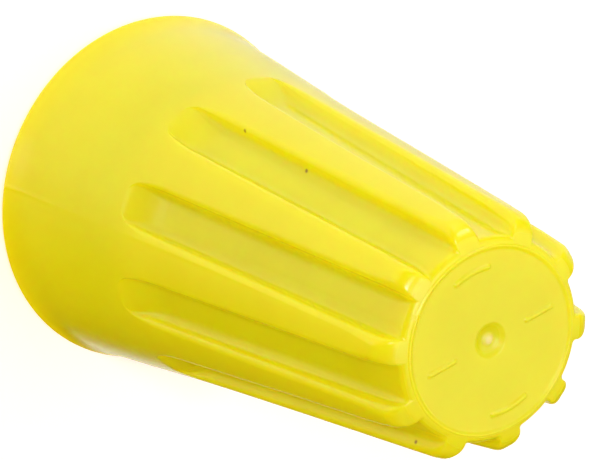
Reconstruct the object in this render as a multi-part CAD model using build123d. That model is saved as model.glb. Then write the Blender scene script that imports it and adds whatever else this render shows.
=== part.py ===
from build123d import *
import math
import os

# Twist-on wire connector: a ribbed one-piece shell with a tapered coil spring
# of square wire pressed into it. The connector stands on its open rim at Z = 0,
# with its axis on Z and its closed tip up. A rib is centred on +X.
# All sizes are in millimetres and angles in degrees.

os.makedirs("parts", exist_ok=True)

# ---- Shell, outside ----
rim_radius = 8.06
rim_edge_round = 0.20
rim_lean = 0.32               # fall in radius per unit of height, at the rim
flare_top_lean = 0.09
rib_end_lean = 0.0865
flare_height = 1.6            # the rim flares out below this height
flare_top_radius = 7.70
skirt_top_height = 9.0        # where the plain skirt meets the taper of the ribs
skirt_top_radius = 6.95
rib_end_height = 26.54        # where the line of the rib crests meets the line of the rib ends
rib_end_radius = 5.43
rib_end_round = 1.10
tip_height = 26.80
tip_edge_radius = 4.25
tip_edge_round = 0.25

# ---- Grooves between the ribs ----
rib_count = 10
floor_width = 1.74            # across the groove's floor
wall_lean = 14.0              # angle by which each groove wall leans out
cutter_start = 0.30           # how far below the floor the leaning walls are drawn from
groove_start_height = 8.10    # lowest edge of the groove
groove_start_corner = 0.75
crease_height = 9.85          # where the sloping start meets the straight floor
crease_radius = 6.22
ramp_slope = 0.52             # radial fall per unit of height, below the crease
floor_end_radius = 4.53       # groove floor where it turns in to the tip face
floor_end_bevel = 0.20
floor_end_round = 0.30
floor_corner_round = 0.40
crease_round = 1.2
rib_edge_round = 0.25

# ---- Tip face ----
dish_radius = 0.80
dish_depth = 0.26
gate_radius = 0.27
gate_height = 0.16
gate_overlap = 0.05           # how far the gate mark runs down into the dish
mark_height = 0.08
mark_width = 0.24
mark_overlap = 0.02           # how far the marks run down into the tip
bar_length = 1.5
bar_distance = 2.6
arc_radius = 3.3
arc_span = 30.0
marks_turn = 21.0             # from the middle of a rib to the bars
ring_radius = 4.14            # middle of the fine raised line round the tip face
ring_width = 0.12
ring_height = 0.05

# ---- Shell, inside ----
mouth_radius = 6.40
mouth_lead = 0.50             # rounded lead-in at the rim
mouth_depth = 7.20
pocket_start_height = 9.00
pocket_start_radius = 4.72
pocket_end_height = 23.60
pocket_end_radius = 3.44
pocket_end_round = 0.40

# ---- Spring ----
wire_side = 0.90
wire_bite = 0.04              # how far the wire's corners press into the pocket wall
coil_pitch = 1.38
coil_bottom_gap = 0.10        # from the pocket's lower edge to the first turn
coil_top_gap = 0.25           # from the pocket floor to the last turn

dish_sphere_radius = (dish_radius ** 2 + dish_depth ** 2) / (2 * dish_depth)
wire_diagonal = wire_side * math.sqrt(2)
pocket_slope = (pocket_start_radius - pocket_end_radius) / (pocket_end_height - pocket_start_height)


def pocket_radius_at(z):
    """Radius of the tapered pocket wall at height z."""
    return pocket_start_radius - pocket_slope * (z - pocket_start_height)


def rounded(sketch, radius, height, corner_round):
    """Round the sketch corner that lies at a given radius and height."""
    corner = sketch.vertices().sort_by_distance((radius, height, 0))[0]
    return fillet(corner, corner_round)


def shell_body():
    """The closed outside of the shell, before the grooves and the cavity."""
    flare = Spline(
        (rim_radius, 0),
        (flare_top_radius, flare_height),
        tangents=[(-rim_lean, 1), (-flare_top_lean, 1)],
    )
    side = Spline(
        (flare_top_radius, flare_height),
        (skirt_top_radius, skirt_top_height),
        (rib_end_radius, rib_end_height),
        tangents=[(-flare_top_lean, 1), (-rib_end_lean, 1)],
    )
    ends = Polyline(
        (rib_end_radius, rib_end_height),
        (tip_edge_radius, tip_height),
        (0, tip_height),
        (0, 0),
        (rim_radius, 0),
    )
    section = make_face(flare + side + ends)
    section = rounded(section, rim_radius, 0, rim_edge_round)
    section = rounded(section, rib_end_radius, rib_end_height, rib_end_round)
    section = rounded(section, tip_edge_radius, tip_height, tip_edge_round)
    return revolve(Plane.XZ * section, axis=Axis.Z)


def groove_cutter():
    """The space of one groove, centred on +X: a sloping start, then a straight floor."""
    low = groove_start_height - 0.3
    high = tip_height + 0.5
    far = rim_radius + 2.0
    floor_end_height = tip_height - floor_end_bevel
    side = make_face(
        Polyline(
            (crease_radius + ramp_slope * (crease_height - low), low),
            (crease_radius, crease_height),
            (floor_end_radius, floor_end_height),
            (floor_end_radius - (high - floor_end_height), high),
            (far, high),
            (far, low),
            close=True,
        )
    )
    side = rounded(side, crease_radius, crease_height, crease_round)
    side = rounded(side, floor_end_radius, floor_end_height, floor_end_round)
    wedge = Rot(0, 0, -20) * revolve(Plane.XZ * side, axis=Axis.Z, revolution_arc=40)
    half = floor_width / 2 - cutter_start * math.tan(math.radians(wall_lean))
    start = groove_start_height - crease_height
    end = high + 1.0 - crease_height
    front = make_face(
        Polyline(
            (half, start),
            (half, end),
            (-half, end),
            (-half, start),
            close=True,
        )
    )
    front = rounded(front, half, start, groove_start_corner)
    front = rounded(front, -half, start, groove_start_corner)
    outward = Vector(floor_end_height - crease_height, 0, crease_radius - floor_end_radius)
    floor_plane = Plane(origin=(crease_radius, 0, crease_height), x_dir=(0, 1, 0), z_dir=outward)
    opening = extrude(
        floor_plane.offset(-cutter_start) * front,
        amount=far - crease_radius,
        taper=-wall_lean,
    )
    cutter = wedge & opening
    floor_edges = [
        edge for edge in cutter.edges()
        if edge.length > 10 and (edge @ 0.5).X < crease_radius
    ]
    return fillet(floor_edges, floor_corner_round)


def cavity():
    """The open mouth, its funnel and the tapered pocket for the spring."""
    lead_in = RadiusArc(
        (mouth_radius + mouth_lead, 0),
        (mouth_radius, mouth_lead),
        mouth_lead,
    )
    outline = Polyline(
        (mouth_radius, mouth_lead),
        (mouth_radius, mouth_depth),
        (pocket_start_radius, pocket_start_height),
        (pocket_end_radius, pocket_end_height),
        (0, pocket_end_height),
        (0, -1),
        (mouth_radius + mouth_lead, -1),
        (mouth_radius + mouth_lead, 0),
    )
    section = make_face(lead_in + outline)
    section = rounded(section, pocket_end_radius, pocket_end_height, pocket_end_round)
    return revolve(Plane.XZ * section, axis=Axis.Z)


def tip_marks():
    """Plain raised marks on the tip face: two bars, two arcs and a fine line round the edge."""
    with BuildSketch(Plane.XY.offset(tip_height - mark_overlap)) as marks:
        with Locations((bar_distance, 0), (-bar_distance, 0)):
            SlotOverall(bar_length, mark_width)
        for middle in (90, 270):
            arc = CenterArc((0, 0), arc_radius, middle - arc_span / 2, arc_span)
            SlotArc(arc, mark_width)
    raised = extrude(marks.sketch, amount=mark_height + mark_overlap)
    with BuildSketch(Plane.XY.offset(tip_height - mark_overlap)) as ring:
        Circle(ring_radius + ring_width / 2)
        Circle(ring_radius - ring_width / 2, mode=Mode.SUBTRACT)
    line = extrude(ring.sketch, amount=ring_height + mark_overlap)
    return Rot(0, 0, marks_turn) * raised + line


def rib_edges(shell):
    """The long edges between the rib crests and the groove walls."""
    found = []
    for edge in shell.edges():
        middle = edge @ 0.5
        on_crest = math.hypot(middle.X, middle.Y) > 5.9 and middle.Z > crease_height
        if edge.length > 10 and on_crest and abs(middle.Y) > 0.1:
            found.append(edge)
    return found


def make_shell():
    shell = shell_body()
    cutter = groove_cutter()
    for k in range(rib_count):
        shell -= Rot(0, 0, (k + 0.5) * 360 / rib_count) * cutter
    shell = fillet(rib_edges(shell), rib_edge_round)
    shell -= cavity()
    shell -= Pos(0, 0, tip_height + dish_sphere_radius - dish_depth) * Sphere(dish_sphere_radius)
    gate_base = tip_height - dish_depth - gate_overlap
    shell += Pos(0, 0, gate_base) * Cylinder(
        gate_radius, gate_height + gate_overlap, align=(Align.CENTER, Align.CENTER, Align.MIN)
    )
    shell += tip_marks()
    return shell


def make_spring():
    """Square wire wound corner inwards on a cone, right-handed, wide end down."""
    half = wire_diagonal / 2
    low = pocket_start_height + coil_bottom_gap + half
    high = pocket_end_height - coil_top_gap - half
    mean_radius_high = pocket_radius_at(high) - half + wire_bite
    path = Helix(
        pitch=coil_pitch,
        height=high - low,
        radius=mean_radius_high,
        center=(0, 0, high),
        direction=(0, 0, -1),
        cone_angle=math.degrees(math.atan(pocket_slope)),
    )
    start = path @ 0
    outward = Vector(start.X, start.Y, 0)
    section = Plane(origin=start, x_dir=outward, z_dir=path % 0) * Rot(0, 0, 45) * Rectangle(wire_side, wire_side)
    return sweep(section, path=path, is_frenet=True)


if __name__ == "__main__":
    shell = make_shell()
    spring = make_spring()
    export_step(shell, "parts/shell.step")
    export_step(spring, "parts/spring.step")
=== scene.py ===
"""Looks of a twist-on wire connector: a ribbed, slightly translucent yellow shell
with a plated square-wire coil spring inside. It stands on its open rim with its
axis on Z, and a rib is centred on +X. Shapes are worked out in millimetres."""

import math

import bpy
from mathutils import Matrix, Vector, noise


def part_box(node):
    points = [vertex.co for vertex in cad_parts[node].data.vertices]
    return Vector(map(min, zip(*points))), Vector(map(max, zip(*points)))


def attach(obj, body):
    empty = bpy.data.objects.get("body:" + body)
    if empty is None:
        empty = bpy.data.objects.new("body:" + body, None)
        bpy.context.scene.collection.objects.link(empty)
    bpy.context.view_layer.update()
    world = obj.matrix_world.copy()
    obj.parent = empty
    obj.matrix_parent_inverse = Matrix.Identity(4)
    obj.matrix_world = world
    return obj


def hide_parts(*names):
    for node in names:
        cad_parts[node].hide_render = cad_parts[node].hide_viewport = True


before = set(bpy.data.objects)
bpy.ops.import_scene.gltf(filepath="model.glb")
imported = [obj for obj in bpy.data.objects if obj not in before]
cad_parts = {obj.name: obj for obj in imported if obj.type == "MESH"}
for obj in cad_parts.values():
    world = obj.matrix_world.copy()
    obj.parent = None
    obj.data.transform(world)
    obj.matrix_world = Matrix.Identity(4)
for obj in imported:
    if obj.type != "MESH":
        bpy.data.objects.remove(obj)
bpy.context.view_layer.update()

MM = 0.001
shell_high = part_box("shell")[1]
spring_low, spring_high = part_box("spring")

# ---- Shell, outside (millimetres) ----
TOP = shell_high.z / MM              # top of the raised marks
MARK_HEIGHT = 0.08
TIP = TOP - MARK_HEIGHT              # the tip face
RIM_RADIUS = 8.06
RIM_EDGE_ROUND = 0.20
SIDE_CURVE = (                       # height, radius and slope of the skirt and the rib crests
    (0.0, RIM_RADIUS, -0.32),
    (1.6, 7.70, -0.09),
    (9.0, 6.95, -0.094),
    (26.54, 5.43, -0.0865),
)
TIP_EDGE_RADIUS = 4.25
RIB_END_ROUND = 1.10
TIP_EDGE_ROUND = 0.25

# ---- Grooves ----
RIBS = 10
HALF_PITCH = math.pi / RIBS
FLOOR_HALF = 0.87                    # half the width of a groove's floor
WALL_LEAN = 0.25                     # each wall leans out by this share of its height
GROOVE_START = 8.10                  # lowest edge of the groove
GROOVE_START_CORNER = 0.75
CREASE_HEIGHT = 9.85                 # where the sloping start meets the straight floor
CREASE_RADIUS = 6.22
RAMP_SLOPE = 0.52                    # radial fall per unit of height, below the crease
FLOOR_END_RADIUS = 4.53              # groove floor where it turns in to the tip face
FLOOR_END_BEVEL = 0.20
SKIRT_BLEND = 0.10                   # over which the sloping start leaves the skirt
CREASE_BLEND = 0.30
BEVEL_BLEND = 0.10
FLOOR_CORNER = 0.60                  # rounding between a groove's floor and walls
RIB_EDGE = 0.36                      # rounding between the walls and the rib crests
RIB_EDGE_AT_END = 0.62               # the ribs are rounder where they turn in at the tip
RIB_END_SPAN = (24.3, 26.2)
ROUND_ROOM = 1.04                    # a little over 1, so that a strip of straight wall is left
LEAST_HALF_FLOOR = 0.05              # of flat floor left between the two rounded corners

# ---- Tip face ----
DISH_RADIUS = 0.80
DISH_DEPTH = 0.26
DISH_BLEND = 0.05
GATE_RADIUS = 0.30
GATE_HEIGHT = 0.16
GATE_BLEND = 0.03
MARK_WIDTH = 0.24
MARK_SHOULDER = 0.07                 # how far in the marks' rounded sides start
MARK_FOOT = 0.03                     # how far out they end
BAR_LENGTH = 1.5
BAR_DISTANCE = 2.6
ARC_RADIUS = 3.3
ARC_SPAN = math.radians(30)
MARKS_TURN = math.radians(21)        # from the middle of a rib to the bars
RING_RADIUS = 4.14                   # middle of the fine raised line round the tip face
RING_WIDTH = 0.20
RING_HEIGHT = 0.08

# ---- Shell, inside ----
MOUTH_RADIUS = 6.40
MOUTH_LEAD = 0.50                    # rounded lead-in at the rim
MOUTH_DEPTH = 7.20
MOUTH_END_ROUND = 0.50
POCKET_START = (4.72, 9.00)          # radius, height
POCKET_START_ROUND = 0.25
POCKET_END = (3.44, 23.60)
POCKET_END_ROUND = 0.40

# ---- Spring ----
WIRE_SIDE = 0.90
WIRE_CORNER = 0.07
WIRE_CORNER_BULGE = 0.29             # keeps a corner's middle point on its rounding
WIRE_BITE = 0.04                     # how far the wire's corners press into the pocket wall
COIL_PITCH = 1.38

# ---- Traces of moulding ----
PARTING_ANGLE = math.radians(-6.5)   # where the two mould halves met, and again opposite
PARTING_HEIGHT = 0.025
PARTING_WIDTH = 0.10
SLOW_WAVE = (0.22, 0.13, 0.018)      # waves per millimetre across and along the axis, and height
FINE_WAVE = (0.9, 0.5, 0.005)
FINE_WAVE_SHIFT = 7                  # keeps the fine waves clear of the slow ones
TIP_WAVE = (1.6, 0.015)              # waves per millimetre and height, on the tip face
TIP_WAVE_SLICE = 3.0                 # of the noise field
TIP_WAVE_SPAN = (4.2, 3.6)           # from the tip's edge inward, where its waves fade in
SPECKS = (                           # angle (degrees), radius, height of dark specks
    (-62.9, 6.51, 11.90),
    (-62.3, 5.73, 16.35),
    (65.1, 5.21, 24.90),
    (171.0, 7.37, 5.05),
)
SPECK_RADIUS = 0.12
SPECK_COLOUR = (0.34, 0.27, 0.02, 1)
SPOT_CORE = 0.4                      # share of a spot's radius that has its full colour

# ---- How finely the shell is divided ----
SIDE_ROWS = (                        # from and to these heights, this many rows
    (0.35, 7.2, 20),
    (7.2, 10.4, 32),
    (10.4, 25.0, 22),
)
RIM_FLAT = 0.5                       # width of the rim's face that the outside takes in
RIM_ROUND_TOP = 1.0                  # height that the rim's rounding is aimed at
RIB_END_STEPS = 16
RIB_SLOPE_STEPS = 7
FLOOR_STEPS = 6
CORNER_STEPS = 6
WALL_STEPS = 3
EDGE_STEPS = 7
CREST_STEPS = 11
LEAST_STEP = 0.004                   # keeps neighbouring points of a section apart
EVEN_SPAN = (3.0, 7.2)               # where evenly spaced points gather towards the grooves
CREST_BAND = 0.02                    # within this of the crest, the parting ridge shows
RIM_CALM = 0.4                       # the waves fade in over this height at the rim
TIP_CALM = 0.3                       # and fade out over this height at the tip
FACE_START = 0.02                    # from the tip face's edge to its first ring
FACE_RING_STEPS = 14
FACE_RING_END = 0.2                  # inside the fine line's middle, where wider rings start
FACE_STEPS = 90
FACE_INNERMOST = 0.04
FACE_EVEN = 0.5                      # from the tip's edge to where its points are evenly spaced
INSIDE_INNERMOST = 0.05
INSIDE_STEP = 0.7
JOIN_HEIGHT = 0.2                    # the inside's points face those of this height outside
SPRING_STEPS = 48                    # in each turn


# ------------------------------------------------------------------ helpers

def smoothstep(start, end, value):
    """0 before start, 1 past end, and an S between. The end may be the lower of the two."""
    t = min(max((value - start) / (end - start), 0.0), 1.0)
    return t * t * (3 - 2 * t)


def soft_min(a, b, width):
    """The smaller of two, with their crossing rounded over width."""
    h = max(width - abs(a - b), 0.0)
    return min(a, b) - h * h / (4 * width)


def soft_max(a, b, width):
    """The larger of two, with their crossing rounded over width."""
    return -soft_min(-a, -b, width)


def rounded_outline(corners, steps=6):
    """Points along an outline of (x, y, corner radius) with its inner corners rounded."""
    points = [Vector(corners[0][:2])]
    for before, corner, after in zip(corners, corners[1:], corners[2:]):
        at = Vector(corner[:2])
        radius = corner[2]
        if radius <= 0:
            points.append(at)
            continue
        back = (Vector(before[:2]) - at).normalized()
        ahead = (Vector(after[:2]) - at).normalized()
        half = back.angle(ahead) / 2
        centre = at + (back + ahead).normalized() * radius / math.sin(half)
        start = at + back * radius / math.tan(half) - centre
        end = at + ahead * radius / math.tan(half) - centre
        turn = start.angle(end)
        for k in range(steps + 1):
            t = k / steps
            arm = start * math.sin((1 - t) * turn) + end * math.sin(t * turn)
            points.append(centre + arm / math.sin(turn))
    points.append(Vector(corners[-1][:2]))
    return points


def side_radius(height):
    """Radius of the skirt and of the rib crests at a height, up to where the ribs turn in."""
    for (z0, r0, s0), (z1, r1, s1) in zip(SIDE_CURVE, SIDE_CURVE[1:]):
        if height <= z1 or z1 == SIDE_CURVE[-1][0]:
            span = z1 - z0
            t = (height - z0) / span
            return (
                (2 * t**3 - 3 * t**2 + 1) * r0
                + (t**3 - 2 * t**2 + t) * span * s0
                + (-2 * t**3 + 3 * t**2) * r1
                + (t**3 - t**2) * span * s1
            )


def spread(start, end, count):
    """count evenly spaced numbers from start, without end."""
    return [start + (end - start) * k / count for k in range(count)]


def ring_faces(rows, count):
    """Faces between rings of count vertices each, numbered ring after ring."""
    faces = []
    for row in range(rows):
        for k in range(count):
            a = row * count + k
            b = row * count + (k + 1) % count
            faces.append((a, b, b + count, a + count))
    return faces


def new_mesh(name, vertices, faces):
    """A smooth-shaded mesh object from vertices in millimetres."""
    mesh = bpy.data.meshes.new(name)
    mesh.from_pydata([(x * MM, y * MM, z * MM) for x, y, z in vertices], [], faces)
    mesh.validate()
    mesh.polygons.foreach_set("use_smooth", [True] * len(mesh.polygons))
    mesh.update()
    thing = bpy.data.objects.new(name, mesh)
    bpy.context.scene.collection.objects.link(thing)
    return thing


# ------------------------------------------------------------------ shell shape

def crest_profile():
    """(radius, height) along a rib crest, from the rim's flat to the edge of the tip face."""
    bend_z, bend_r, _ = SIDE_CURVE[-1]
    side_top = SIDE_ROWS[-1][1]
    slope_middle = ((bend_r + TIP_EDGE_RADIUS) / 2, (bend_z + TIP) / 2, 0)
    low = rounded_outline(
        [
            (RIM_RADIUS - RIM_FLAT, 0, 0),
            (RIM_RADIUS, 0, RIM_EDGE_ROUND),
            (side_radius(RIM_ROUND_TOP), RIM_ROUND_TOP, 0),
        ]
    )[1:-1]
    side = [Vector((side_radius(z), z)) for rows in SIDE_ROWS for z in spread(*rows)]
    high = rounded_outline(
        [(side_radius(side_top), side_top, 0), (bend_r, bend_z, RIB_END_ROUND), slope_middle],
        steps=RIB_END_STEPS,
    )[1:-1]
    edge = rounded_outline(
        [slope_middle, (TIP_EDGE_RADIUS, TIP, TIP_EDGE_ROUND), (0, TIP, 0)]
    )[1:-1]
    slope = [high[-1].lerp(edge[0], k / RIB_SLOPE_STEPS) for k in range(1, RIB_SLOPE_STEPS)]
    return low + side + high + slope + edge


def floor_radius(height):
    """Radius of a groove's floor at a height: a ramp, a straight run, a bevel at the tip."""
    end_height = TIP - FLOOR_END_BEVEL
    fall = (CREASE_RADIUS - FLOOR_END_RADIUS) / (end_height - CREASE_HEIGHT)
    ramp = CREASE_RADIUS + RAMP_SLOPE * (CREASE_HEIGHT - height)
    run = CREASE_RADIUS - fall * (height - CREASE_HEIGHT)
    bevel = FLOOR_END_RADIUS + end_height - height
    return soft_min(soft_max(ramp, run, CREASE_BLEND), bevel, BEVEL_BLEND)


def groove_half_width(height):
    """Half the groove's width at the floor: narrower where its start is rounded."""
    rise = min(max(height - GROOVE_START, 0.0), GROOVE_START_CORNER)
    inset = GROOVE_START_CORNER - rise
    return FLOOR_HALF - GROOVE_START_CORNER + math.sqrt(GROOVE_START_CORNER**2 - inset**2)


def half_section(crest, height):
    """(angle, radius) from the middle of a groove to the middle of a rib, at one height."""
    floor = soft_min(floor_radius(height), crest, SKIRT_BLEND)
    depth = crest - floor
    lean = math.atan(WALL_LEAN)
    upright = math.pi / 2 - lean
    reach = math.tan(upright / 2)
    at_end = smoothstep(*RIB_END_SPAN, height)
    edge_round = RIB_EDGE + (RIB_EDGE_AT_END - RIB_EDGE) * at_end
    share = min(1.0, depth / ((FLOOR_CORNER + edge_round) * (ROUND_ROOM - math.sin(lean))))
    wall_x = groove_half_width(height)
    corner = min(FLOOR_CORNER * share, (wall_x - LEAST_HALF_FLOOR) / reach)
    edge = edge_round * share
    low_x = wall_x - corner * reach
    top_x = wall_x + WALL_LEAN * depth + edge * reach

    points = [(x, floor) for x in spread(0, low_x, FLOOR_STEPS)]
    for k in range(CORNER_STEPS + 1):
        turn = upright * k / CORNER_STEPS
        x = low_x + corner * math.sin(turn)
        points.append((x, floor + corner * (1 - math.cos(turn))))
    wall_low = Vector(points[-1])
    wall_high = Vector((top_x - edge * math.cos(lean), crest - edge * (1 - math.sin(lean))))
    points += [tuple(wall_low.lerp(wall_high, k / WALL_STEPS)) for k in range(1, WALL_STEPS)]
    for k in range(EDGE_STEPS + 1):
        turn = lean + upright * k / EDGE_STEPS
        points.append((top_x - edge * math.cos(turn), crest - edge * (1 - math.sin(turn))))
    for k in range(1, len(points)):
        x, radius = points[k]
        points[k] = (max(x, points[k - 1][0] + LEAST_STEP), radius)

    section = [(math.asin(x / radius), radius) for x, radius in points]
    last = section[-1][0]
    for k in range(1, CREST_STEPS + 1):
        section.append((last + (HALF_PITCH - last) * k / CREST_STEPS, crest))
    return section


def full_section(crest, height):
    """(angle, radius) all the way round, starting in the middle of the rib on +X."""
    half = half_section(crest, height)
    mirrored = [(-angle, radius) for angle, radius in reversed(half[1:])]
    pitch = mirrored + half[:-1]
    return [
        (angle + (2 * k + 1) * HALF_PITCH, radius)
        for k in range(RIBS)
        for angle, radius in pitch
    ]


def respaced(angles, share):
    """The angles moved a share of the way to even spacing."""
    count = len(angles)
    first = angles[0]
    return [
        angle + (first + 2 * math.pi * k / count - angle) * share
        for k, angle in enumerate(angles)
    ]


def parting_ridge(angle, radius):
    """Height of the fine ridge left where the two mould halves met."""
    offset = (angle - PARTING_ANGLE + math.pi / 2) % math.pi - math.pi / 2
    return PARTING_HEIGHT * math.exp(-((offset * radius / PARTING_WIDTH) ** 2))


def waviness(x, y, z):
    """Slight unevenness of a moulded surface."""
    across, along, slow_height = SLOW_WAVE
    slow = noise.noise(Vector((x * across, y * across, z * along)))
    across, along, fine_height = FINE_WAVE
    fine = noise.noise(Vector((x * across + FINE_WAVE_SHIFT, y * across, z * along)))
    return slow_height * slow + fine_height * fine


def bar_shape(along, across, length):
    """Distance outside a slot-shaped bar's middle line."""
    reach = max(abs(along) - (length - MARK_WIDTH) / 2, 0.0)
    return math.hypot(reach, across)


def mark_rise(x, y):
    """Height of the plain raised marks at a place on the tip face."""
    turned_x = x * math.cos(MARKS_TURN) + y * math.sin(MARKS_TURN)
    turned_y = y * math.cos(MARKS_TURN) - x * math.sin(MARKS_TURN)
    bars = bar_shape(abs(turned_x) - BAR_DISTANCE, turned_y, BAR_LENGTH)
    angle = math.atan2(abs(turned_y), turned_x) - math.pi / 2
    radius = math.hypot(x, y)
    arcs = bar_shape(angle * ARC_RADIUS, radius - ARC_RADIUS, ARC_SPAN * ARC_RADIUS + MARK_WIDTH)
    away = min(bars, arcs)
    half = MARK_WIDTH / 2
    return MARK_HEIGHT * (1 - smoothstep(half - MARK_SHOULDER, half + MARK_FOOT, away))


def tip_height(x, y):
    """Height of the tip face: nearly flat, with a dish, a gate mark and raised marks."""
    radius = math.hypot(x, y)
    sphere = (DISH_RADIUS**2 + DISH_DEPTH**2) / (2 * DISH_DEPTH)
    dish = 0.0
    if radius < sphere:
        dish = max(DISH_DEPTH - sphere + math.sqrt(sphere**2 - radius**2), 0.0)
    dish = soft_max(dish, 0.0, DISH_BLEND)
    ring = RING_HEIGHT * math.exp(-((radius - RING_RADIUS) / (RING_WIDTH / 2)) ** 2)
    gate = soft_max(GATE_HEIGHT * (1 - (radius / GATE_RADIUS) ** 2), 0.0, GATE_BLEND)
    per_mm, wave_height = TIP_WAVE
    bumps = noise.noise(Vector((x * per_mm, y * per_mm, TIP_WAVE_SLICE)))
    wave = wave_height * bumps * smoothstep(*TIP_WAVE_SPAN, radius)
    return TIP - dish + gate + ring + mark_rise(x, y) + wave


def outside_rings():
    """Rings of vertices from the rim's flat up the outside and in over the tip face."""
    rings = []
    profile = crest_profile()
    for crest, height in profile:
        section = full_section(crest, height)
        even = 1 - smoothstep(*EVEN_SPAN, height)
        angles = respaced([angle for angle, _ in section], even)
        calm = smoothstep(TIP, TIP - TIP_CALM, height) * smoothstep(0.0, RIM_CALM, height)
        ring = []
        for angle, (_, radius) in zip(angles, section):
            x = radius * math.cos(angle)
            y = radius * math.sin(angle)
            ridge = parting_ridge(angle, radius) if radius > crest - CREST_BAND else 0.0
            out = radius + (waviness(x, y, height) + ridge) * calm
            ring.append((out * math.cos(angle), out * math.sin(angle), height))
        rings.append(ring)

    edge, edge_height = profile[-1]
    edge_angles = [angle for angle, _ in full_section(edge, edge_height)]
    inner = RING_RADIUS - FACE_RING_END
    radii = spread(edge - FACE_START, inner, FACE_RING_STEPS)
    radii += spread(inner, FACE_INNERMOST, FACE_STEPS)
    for radius in radii:
        angles = respaced(edge_angles, smoothstep(edge, edge - FACE_EVEN, radius))
        ring = []
        for angle in angles:
            x = radius * math.cos(angle)
            y = radius * math.sin(angle)
            ring.append((x, y, tip_height(x, y)))
        rings.append(ring)
    return rings


def inside_rings(count):
    """Rings of vertices from the end of the spring's pocket down to the rim's flat."""
    outline = rounded_outline(
        [
            (INSIDE_INNERMOST, POCKET_END[1], 0),
            (*POCKET_END, POCKET_END_ROUND),
            (*POCKET_START, POCKET_START_ROUND),
            (MOUTH_RADIUS, MOUTH_DEPTH, MOUTH_END_ROUND),
            (MOUTH_RADIUS, 0, MOUTH_LEAD),
            (RIM_RADIUS - RIM_EDGE_ROUND, 0, 0),
        ]
    )
    dense = []
    for start, end in zip(outline, outline[1:]):
        pieces = max(1, round((end - start).length / INSIDE_STEP))
        dense += [start.lerp(end, k / pieces) for k in range(pieces)]
    first = full_section(side_radius(JOIN_HEIGHT), JOIN_HEIGHT)[0][0]
    turns = [first + 2 * math.pi * k / count for k in range(count)]
    return [
        [(radius * math.cos(turn), radius * math.sin(turn), height) for turn in turns]
        for radius, height in dense
    ]


def closed_from_rings(name, rings):
    """A closed mesh through rings of equal count, with a point at each end."""
    count = len(rings[0])
    vertices = [point for ring in rings for point in ring]
    faces = ring_faces(len(rings) - 1, count)
    for ring, flip in ((0, True), (len(rings) - 1, False)):
        height = rings[ring][0][2]
        pole = len(vertices)
        vertices.append((0.0, 0.0, height))
        for k in range(count):
            a = ring * count + k
            b = ring * count + (k + 1) % count
            faces.append((b, a, pole) if flip else (a, b, pole))
    return new_mesh(name, vertices, faces)


def make_shell():
    outside = outside_rings()
    inside = inside_rings(len(outside[0]))
    return closed_from_rings("shell_moulding", inside + outside)


# ------------------------------------------------------------------ spring shape

def wire_section():
    """Outline of the square wire, corner first, with its corners slightly rounded."""
    reach = WIRE_SIDE / math.sqrt(2)
    square = [Vector((reach, 0)), Vector((0, reach)), Vector((-reach, 0)), Vector((0, -reach))]
    points = []
    for before, corner, after in zip(square[-1:] + square, square, square[1:] + square[:1]):
        back = (before - corner).normalized() * WIRE_CORNER
        ahead = (after - corner).normalized() * WIRE_CORNER
        middle = corner + (back + ahead) * WIRE_CORNER_BULGE
        points += [corner + back, middle, corner + ahead]
    return points


def make_spring():
    """Square wire wound corner inwards on a cone, right-handed, wide end down."""
    outline = wire_section()
    reach = WIRE_SIDE / math.sqrt(2)
    fall = (POCKET_START[0] - POCKET_END[0]) / (POCKET_END[1] - POCKET_START[1])
    low = spring_low.z / MM + reach
    high = spring_high.z / MM - reach
    high_radius = POCKET_START[0] - fall * (high - POCKET_START[1]) - reach + WIRE_BITE
    turns = (high - low) / COIL_PITCH
    steps = round(turns * SPRING_STEPS)
    rise = COIL_PITCH / (2 * math.pi)
    rings = []
    for k in range(steps + 1):
        down = k / steps
        angle = -down * turns * 2 * math.pi
        height = high - (high - low) * down
        radius = high_radius + fall * (high - height)
        out = Vector((math.cos(angle), math.sin(angle), 0))
        along = Vector((-math.sin(angle) * radius, math.cos(angle) * radius, rise))
        up = out.cross(along.normalized())
        if up.z < 0:
            up = -up
        middle = out * radius + Vector((0, 0, height))
        rings.append([tuple(middle + out * p.x + up * p.y) for p in outline])
    count = len(outline)
    vertices = [point for ring in rings for point in ring]
    faces = ring_faces(steps, count)
    faces.append(tuple(range(count - 1, -1, -1)))
    faces.append(tuple(steps * count + k for k in range(count)))
    return new_mesh("coil_spring", vertices, faces)


# ------------------------------------------------------------------ materials

class Nodes:
    """The node tree of a material or a world, built a node at a time."""

    def __init__(self, owner):
        self.owner = owner
        owner.use_nodes = True
        self.tree = owner.node_tree
        self.tree.nodes.clear()

    def add(self, kind, inputs=None, **settings):
        node = self.tree.nodes.new(kind)
        for key, value in settings.items():
            setattr(node, key, value)
        for key, value in (inputs or {}).items():
            if isinstance(value, bpy.types.NodeSocket):
                self.tree.links.new(value, node.inputs[key])
            else:
                node.inputs[key].default_value = value
        return node

    def ramp(self, source, stops):
        node = self.add("ShaderNodeValToRGB", {"Fac": source})
        elements = node.color_ramp.elements
        while len(elements) < len(stops):
            elements.new(0.5)
        for element, (position, colour) in zip(elements, stops):
            element.position = position
            element.color = (*colour, 1)
        return node.outputs["Color"]

    def mix(self, factor, a, b):
        """A colour between two, each of them a colour or a socket."""
        inputs = {"Factor": factor, "A": a, "B": b}
        return self.add("ShaderNodeMix", inputs, data_type="RGBA").outputs["Result"]

    def surface(self, shader, output="ShaderNodeOutputMaterial"):
        self.add(output, {"Surface": shader.outputs[0]})
        return self.owner


def spot_mask(n, place, spot, radius):
    """1 inside a small round spot of the surface, 0 outside it."""
    away = n.add("ShaderNodeVectorMath", {0: place, 1: Vector(spot) * MM}, operation="DISTANCE")
    return n.add(
        "ShaderNodeMapRange",
        {
            "Value": away.outputs["Value"],
            "From Min": radius * MM * SPOT_CORE,
            "From Max": radius * MM,
            "To Min": 1.0,
            "To Max": 0.0,
        },
    ).outputs["Result"]


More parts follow.
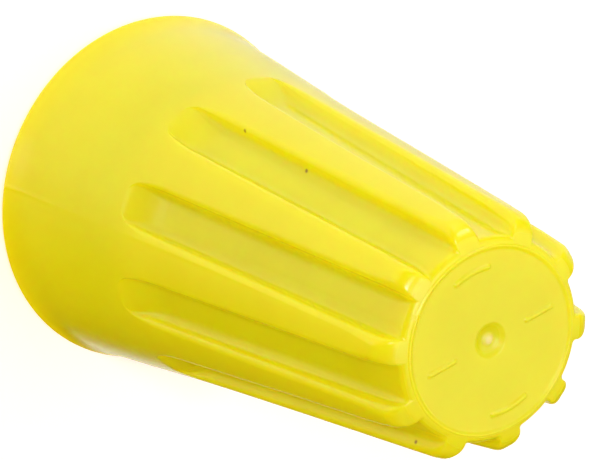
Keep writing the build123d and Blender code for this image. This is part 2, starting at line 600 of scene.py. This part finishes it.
def speck_mask(n, place):
    """1 inside the few dark specks in the plastic, 0 elsewhere."""
    mask = None
    for angle, radius, height in SPECKS:
        turn = math.radians(angle)
        spot = (radius * math.cos(turn), radius * math.sin(turn), height)
        inside = spot_mask(n, place, spot, SPECK_RADIUS)
        if mask is None:
            mask = inside
        else:
            mask = n.add("ShaderNodeMath", {0: mask, 1: inside}, operation="MAXIMUM").outputs[0]
    return mask


SHELL_COLOURS = (                    # place in the slow colour variation, and colour
    (0.3, (0.768, 0.760, 0.006)),
    (0.7, (0.798, 0.802, 0.010)),
)
# The pale colour below is a painted highlight on the gate mark.
GATE_HIGHLIGHT_COLOUR = (0.84, 0.80, 0.30, 1)
GATE_HIGHLIGHT_SPREAD = 1.1                    # the gate mark's painted highlight reaches just past its edge
TIP_ZONE = (0.30, 0.05)              # depths below the tip face where its finish fades in
TIP_DULLING = 0.06                   # added to the roughness on the tip face
SHELL_RELIEF = 0.00002               # metres
WIRE_RELIEF = 0.00002


def shell_material():
    """Glossy, slightly translucent yellow thermoplastic, finely textured on the tip face, with a
    painted highlight on the gate mark.
    """
    n = Nodes(bpy.data.materials.new("yellow_thermoplastic"))
    place = n.add("ShaderNodeTexCoord").outputs["Object"]
    cloud = n.add("ShaderNodeTexNoise", {"Vector": place, "Scale": 260.0, "Detail": 3.0})
    colour = n.mix(
        speck_mask(n, place), n.ramp(cloud.outputs["Fac"], SHELL_COLOURS), SPECK_COLOUR
    )
    # The gate mark gets a painted highlight: a pale spot mixed into the base colour.
    gate_top = (0, 0, TIP - DISH_DEPTH + GATE_HEIGHT)
    gate = spot_mask(n, place, gate_top, GATE_RADIUS * GATE_HIGHLIGHT_SPREAD)
    height = n.add("ShaderNodeSeparateXYZ", {"Vector": place}).outputs["Z"]
    on_tip = n.add(
        "ShaderNodeMapRange",
        {
            "Value": height,
            "From Min": (TIP - TIP_ZONE[0]) * MM,
            "From Max": (TIP - TIP_ZONE[1]) * MM,
        },
    ).outputs["Result"]
    polish = n.add(
        "ShaderNodeMapRange",
        {"Value": cloud.outputs["Fac"], "To Min": 0.18, "To Max": 0.28},
    ).outputs["Result"]
    gloss = n.add(
        "ShaderNodeMath",
        {0: on_tip, 1: TIP_DULLING, 2: polish},
        operation="MULTIPLY_ADD",
    )
    grain = n.add("ShaderNodeTexNoise", {"Vector": place, "Scale": 2600.0, "Detail": 4.0})
    pits = n.add("ShaderNodeTexNoise", {"Vector": place, "Scale": 5200.0, "Detail": 2.0})
    relief = n.add(
        "ShaderNodeMath",
        {0: pits.outputs["Fac"], 1: on_tip, 2: grain.outputs["Fac"]},
        operation="MULTIPLY_ADD",
    )
    bump = n.add(
        "ShaderNodeBump",
        {"Height": relief.outputs[0], "Strength": 0.10, "Distance": SHELL_RELIEF},
    )
    shader = n.add(
        "ShaderNodeBsdfPrincipled",
        {
            "Base Color": n.mix(gate, colour, GATE_HIGHLIGHT_COLOUR),
            "Roughness": gloss.outputs[0],
            "Normal": bump.outputs["Normal"],
            "IOR": 1.50,
            "Specular IOR Level": 0.5,
            "Subsurface Weight": 1.0,
            "Subsurface Radius": (1.0, 0.65, 0.06),
            "Subsurface Scale": 0.0025,
        },
    )
    return n.surface(shader)


def spring_material():
    """Drawn steel wire, zinc plated: cool grey with lengthwise streaks and dull patches."""
    n = Nodes(bpy.data.materials.new("zinc_plated_wire"))
    place = n.add("ShaderNodeTexCoord").outputs["Object"]
    stretch = n.add("ShaderNodeMapping", {"Vector": place, "Scale": (1.0, 1.0, 9.0)})
    streak = n.add(
        "ShaderNodeTexNoise",
        {"Vector": stretch.outputs["Vector"], "Scale": 900.0, "Detail": 6.0},
    )
    cloud = n.add("ShaderNodeTexNoise", {"Vector": place, "Scale": 400.0, "Detail": 3.0})
    colour = n.ramp(cloud.outputs["Fac"], [(0.3, (0.50, 0.51, 0.53)), (0.7, (0.68, 0.69, 0.70))])
    gloss = n.add(
        "ShaderNodeMapRange",
        {"Value": streak.outputs["Fac"], "To Min": 0.22, "To Max": 0.45},
    )
    bump = n.add(
        "ShaderNodeBump",
        {"Height": streak.outputs["Fac"], "Strength": 0.2, "Distance": WIRE_RELIEF},
    )
    shader = n.add(
        "ShaderNodeBsdfPrincipled",
        {
            "Base Color": colour,
            "Metallic": 1.0,
            "Roughness": gloss.outputs["Result"],
            "Normal": bump.outputs["Normal"],
        },
    )
    return n.surface(shader)


def floor_material():
    """Plain ground, bright enough to show as white and to lose its shadows."""
    n = Nodes(bpy.data.materials.new("white_ground"))
    shader = n.add(
        "ShaderNodeBsdfPrincipled",
        {
            "Base Color": (0.92, 0.92, 0.92, 1),
            "Roughness": 0.9,
            "Specular IOR Level": 0.0,
            "Emission Color": (1.0, 0.72, 0.68, 1),
            "Emission Strength": 0.46,
        },
    )
    return n.surface(shader)


# ------------------------------------------------------------------ camera, light, ground

AIM = Vector((-0.575, -0.782, 11.334)) * MM
CAMERA_AZIMUTH = math.radians(-26.09)
CAMERA_ELEVATION = math.radians(52.79)
CAMERA_ROLL = math.radians(114.24)
CAMERA_DISTANCE = 264.54 * MM
LENS = 360.0
SENSOR = 36.0
CLIP = (0.01, 20.0)                  # metres

SOFTBOX_DISTANCE = 0.50
SOFTBOXES = (                        # name, direction as the camera's right, up and back, size, watts
    ("front", (0.0, 0.05, 1.0), 0.11, 0.90),
    ("top", (0.1, 0.9, 0.42), 0.20, 0.26),
    ("right", (0.9, -0.2, 0.35), 0.50, 0.82),
    ("overhead", (0.55, -0.25, 0.8), 0.25, 0.62),
    ("top_right", (0.6, 0.6, 0.5), 0.12, 0.40),
    ("low", (0.1, -0.9, 0.35), 0.40, 0.12),
)
FILL_COLOUR = (0.22, 0.10, 0.06)     # of the sky above the horizon
HORIZON_SPAN = (-0.05, 0.05)
CARD_STRENGTH = 1.00
HEAD_SPAN = (-0.42, 0.62)            # where the card fades in, from the image's foot to its head
BACKDROP_SPAN = (0.90, 0.99)         # where the backdrop straight behind fades in
SIDE_CARD_TOWARD = (-0.93, 0.17, 0.15)
SIDE_CARD_SPAN = (0.970, 0.990)
SIDE_CARD_STRENGTH = 1.1             # against the other cards

GROUND_REACH = 3000.0
GROUND_GAP = 0.02                    # so that the rim's face and the ground never coincide


def make_camera():
    """The scene's camera. Gives back its right, up and back directions."""
    toward = Vector((
        math.cos(CAMERA_ELEVATION) * math.cos(CAMERA_AZIMUTH),
        math.cos(CAMERA_ELEVATION) * math.sin(CAMERA_AZIMUTH),
        math.sin(CAMERA_ELEVATION),
    ))
    data = bpy.data.cameras.new("camera")
    data.lens = LENS
    data.sensor_width = SENSOR
    data.clip_start, data.clip_end = CLIP
    camera = bpy.data.objects.new("camera", data)
    bpy.context.scene.collection.objects.link(camera)
    look = toward.to_track_quat("Z", "Y").to_matrix()
    turned = look @ Matrix.Rotation(CAMERA_ROLL, 3, "Z")
    camera.matrix_world = Matrix.Translation(AIM + toward * CAMERA_DISTANCE) @ turned.to_4x4()
    bpy.context.scene.camera = camera
    return turned


def make_lights(basis):
    """Square area lights, placed by directions in the camera's right, up and back."""
    centre = Vector((0, 0, TIP * MM / 2))
    for name, direction, size, power in SOFTBOXES:
        toward = (basis @ Vector(direction)).normalized()
        data = bpy.data.lights.new(name, "AREA")
        data.shape = "SQUARE"
        data.size = size
        data.energy = power
        light = bpy.data.objects.new(name, data)
        bpy.context.scene.collection.objects.link(light)
        look = toward.to_track_quat("Z", "Y").to_matrix().to_4x4()
        light.matrix_world = Matrix.Translation(centre + toward * SOFTBOX_DISTANCE) @ look


def sky_span(n, direction, toward, span):
    """0 to 1 as a direction of the sky turns toward a vector."""
    along = n.add("ShaderNodeVectorMath", {0: direction, 1: toward}, operation="DOT_PRODUCT")
    return n.add(
        "ShaderNodeMapRange",
        {"Value": along.outputs["Value"], "From Min": span[0], "From Max": span[1]},
        interpolation_type="SMOOTHSTEP",
    ).outputs["Result"]


def make_world(basis):
    """Soft fill above the horizon. Below it lie pale cards, which only reflections show."""
    n = Nodes(bpy.data.worlds.new("studio"))
    direction = n.add("ShaderNodeTexCoord").outputs["Generated"]
    head = sky_span(n, direction, basis @ Vector((0, 1, 0)), HEAD_SPAN)
    behind = sky_span(n, direction, basis @ Vector((0, 0, -1)), BACKDROP_SPAN)
    side_toward = basis @ Vector(SIDE_CARD_TOWARD).normalized()
    side = sky_span(n, direction, side_toward, SIDE_CARD_SPAN)
    above = sky_span(n, direction, Vector((0, 0, 1)), HORIZON_SPAN)
    card = n.add("ShaderNodeMath", {0: head, 1: behind}, operation="MAXIMUM").outputs[0]
    cards = n.add(
        "ShaderNodeMath",
        {0: side, 1: SIDE_CARD_STRENGTH, 2: card},
        operation="MULTIPLY_ADD",
    )
    card_colour = n.add(
        "ShaderNodeVectorMath",
        {"Vector": (CARD_STRENGTH, CARD_STRENGTH, CARD_STRENGTH), "Scale": cards.outputs[0]},
        operation="SCALE",
    )
    sky = n.mix(above, card_colour.outputs["Vector"], (*FILL_COLOUR, 1))
    background = n.add("ShaderNodeBackground", {"Color": sky})
    bpy.context.scene.world = n.surface(background, "ShaderNodeOutputWorld")


def make_floor():
    """The ground, left out of glossy reflections, which show the cards instead."""
    corners = ((-1, -1), (1, -1), (1, 1), (-1, 1))
    ground = new_mesh(
        "ground",
        [(x * GROUND_REACH, y * GROUND_REACH, -GROUND_GAP) for x, y in corners],
        [(0, 1, 2, 3)],
    )
    ground.data.materials.append(floor_material())
    ground.visible_glossy = False


basis = make_camera()
make_lights(basis)
make_world(basis)
make_floor()
bpy.context.scene.view_settings.view_transform = "Standard"

shell = make_shell()
shell.data.materials.append(shell_material())
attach(shell, "root")
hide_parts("shell")

spring = make_spring()
spring.data.materials.append(spring_material())
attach(spring, "root")
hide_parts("spring")
